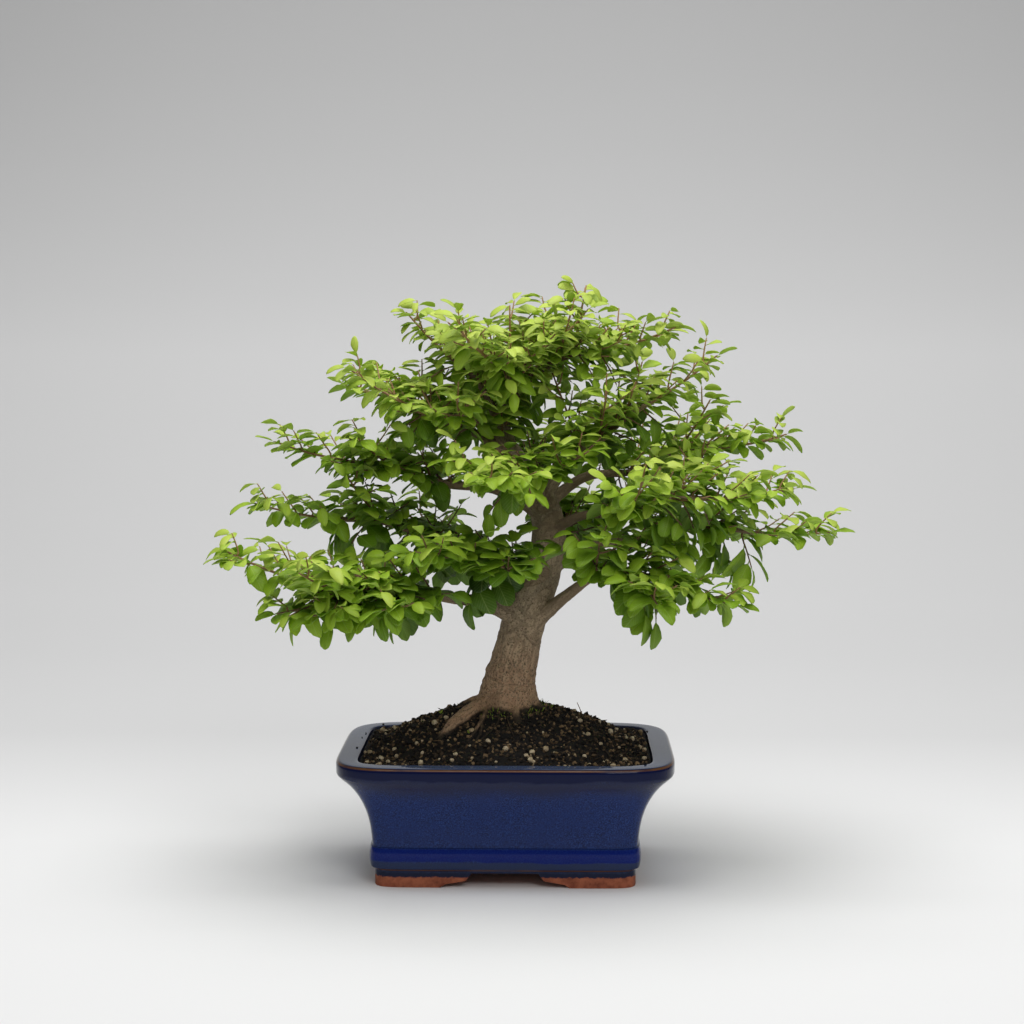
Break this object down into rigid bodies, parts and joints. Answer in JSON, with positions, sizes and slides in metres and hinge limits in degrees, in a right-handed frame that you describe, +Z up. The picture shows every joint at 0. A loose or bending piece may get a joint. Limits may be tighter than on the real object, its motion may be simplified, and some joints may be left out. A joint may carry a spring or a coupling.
{
  "type": "chinese elm bonsai in a glazed pot",
  "caption": "Small gnarled elm with a curved trunk, surface roots and layered leafy sprays, growing in heaped soil in a rectangular blue glazed pot that stands on cut feet.",
  "frame": {"origin": "under the middle of the whole plan, crown included, at the height of the feet", "axes": "+X to the right along the pot's long side, +Y away from the side that the tree is looked at from, +Z up"},
  "size_m": [0.3884, 0.2368, 0.347],
  "materials": {
    "glaze": "gloss",
    "soil": "matte",
    "net": "matte",
    "bark": "matte",
    "leaf": "satin"
  },
  "bodies": {
    "root": {"pot": "glaze", "drain_screen_left": "net", "drain_screen_right": "net", "soil": "soil", "wood": "bark", "spray_low_left_1": "leaf", "spray_low_left_2": "leaf", "spray_low_left_3": "leaf", "spray_low_left_end": "leaf", "spray_low_left_back_1": "leaf", "spray_low_left_back_2": "leaf", "spray_low_left_back_end": "leaf", "spray_inner_left_1": "leaf", "spray_inner_left_end": "leaf", "spray_low_right_1": "leaf", "spray_low_right_2": "leaf", "spray_low_right_3": "leaf", "spray_low_right_end": "leaf", "spray_low_right_back_1": "leaf", "spray_low_right_back_2": "leaf", "spray_low_right_back_end": "leaf", "spray_right_front_1": "leaf", "spray_right_front_2": "leaf", "spray_right_front_end": "leaf", "spray_left_mid_1": "leaf", "spray_left_mid_2": "leaf", "spray_left_mid_end": "leaf", "spray_right_limb_1": "leaf", "spray_right_limb_2": "leaf", "spray_right_limb_end": "leaf", "spray_right_back_1": "leaf", "spray_right_back_2": "leaf", "spray_right_back_end": "leaf", "spray_left_upper_1": "leaf", "spray_left_upper_2": "leaf", "spray_left_upper_end": "leaf", "spray_left_back_1": "leaf", "spray_left_back_2": "leaf", "spray_left_back_end": "leaf", "spray_front_1": "leaf", "spray_front_2": "leaf", "spray_front_end": "leaf", "spray_back_1": "leaf", "spray_back_end": "leaf", "spray_low_back_1": "leaf", "spray_low_back_2": "leaf", "spray_low_back_end": "leaf", "spray_crown_left_1": "leaf", "spray_crown_left_end": "leaf", "spray_crown_front_1": "leaf", "spray_crown_front_2": "leaf", "spray_crown_front_end": "leaf", "spray_crown_right_1": "leaf", "spray_crown_right_2": "leaf", "spray_crown_right_end": "leaf", "spray_crown_back_1": "leaf", "spray_crown_back_end": "leaf", "spray_crown_top_1": "leaf", "spray_crown_top_2": "leaf", "spray_crown_top_end": "leaf"}
  },
  "joints": []
}
